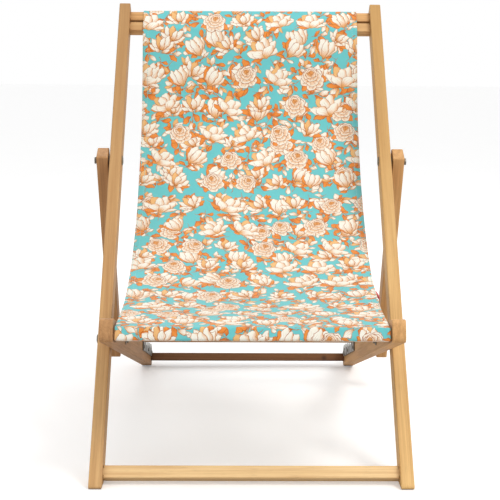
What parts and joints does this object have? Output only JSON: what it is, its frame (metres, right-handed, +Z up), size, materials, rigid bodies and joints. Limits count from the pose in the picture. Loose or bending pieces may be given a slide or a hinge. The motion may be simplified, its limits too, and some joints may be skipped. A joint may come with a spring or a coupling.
{
  "type": "folding deck chair",
  "caption": "Folding deck chair: nested timber frames on pivot bolts, toothed racks for the stay's round bar, and a canvas sling looped round slats.",
  "frame": {"origin": "on the ground, below the middle of the unfolded chair", "axes": "+X across the chair, to the right as seen from the front; +Y from the front of the seat to the back; +Z up. Node names use left and right as seen from the front."},
  "size_m": [0.5972, 0.8976, 0.8102],
  "materials": {
    "wood": "oiled hardwood, honey brown, slightly worn at the edges",
    "steel": "zinc plated, dull",
    "canvas": "plain-weave cotton canvas with a floral print",
    "tag": "folded woven tape, blank"
  },
  "bodies": {
    "back_frame": {"left_back_stile": "wood", "right_back_stile": "wood", "back_top_slat": "wood", "back_lower_slat": "wood", "back_foot_rail": "wood", "left_seat_bolt": "steel", "left_seat_bolt_washer": "steel", "left_seat_pivot_spacer": "steel", "left_seat_nut_washer": "steel", "left_seat_nut": "steel", "right_seat_bolt": "steel", "right_seat_bolt_washer": "steel", "right_seat_pivot_spacer": "steel", "right_seat_nut_washer": "steel", "right_seat_nut": "steel", "left_stay_bolt": "steel", "left_stay_pivot_spacer": "steel", "left_stay_nut_washer": "steel", "left_stay_nut": "steel", "right_stay_bolt": "steel", "right_stay_pivot_spacer": "steel", "right_stay_nut_washer": "steel", "right_stay_nut": "steel", "sling": "canvas", "sling_tag": "tag"},
    "seat_frame": {"left_seat_rail": "wood", "right_seat_rail": "wood", "seat_front_slat": "wood", "seat_second_slat": "wood", "seat_rear_rail": "wood", "left_rack": "steel", "left_rack_screw_1": "steel", "left_rack_screw_2": "steel", "left_rack_screw_3": "steel", "right_rack": "steel", "right_rack_screw_1": "steel", "right_rack_screw_2": "steel", "right_rack_screw_3": "steel"},
    "stay": {"left_stay_leg": "wood", "right_stay_leg": "wood", "stay_bar": "wood"}
  },
  "joints": [
    {"name": "frame_fold", "type": "hinge", "parent": "back_frame", "child": "seat_frame", "pos_m": [0, -0.22131, 0.20983], "axis": [1, 0, 0], "range_deg": [0, 67.3], "deforming": ["sling", "sling_tag"]},
    {"name": "stay_swing", "type": "hinge", "parent": "back_frame", "child": "stay", "pos_m": [0, 0.01783, 0.50514], "axis": [1, 0, 0], "range_deg": [0, 115.3]}
  ],
  "couplings": [
    {"joint": "stay_swing", "follows": "frame_fold", "ratio": 1.713}
  ]
}
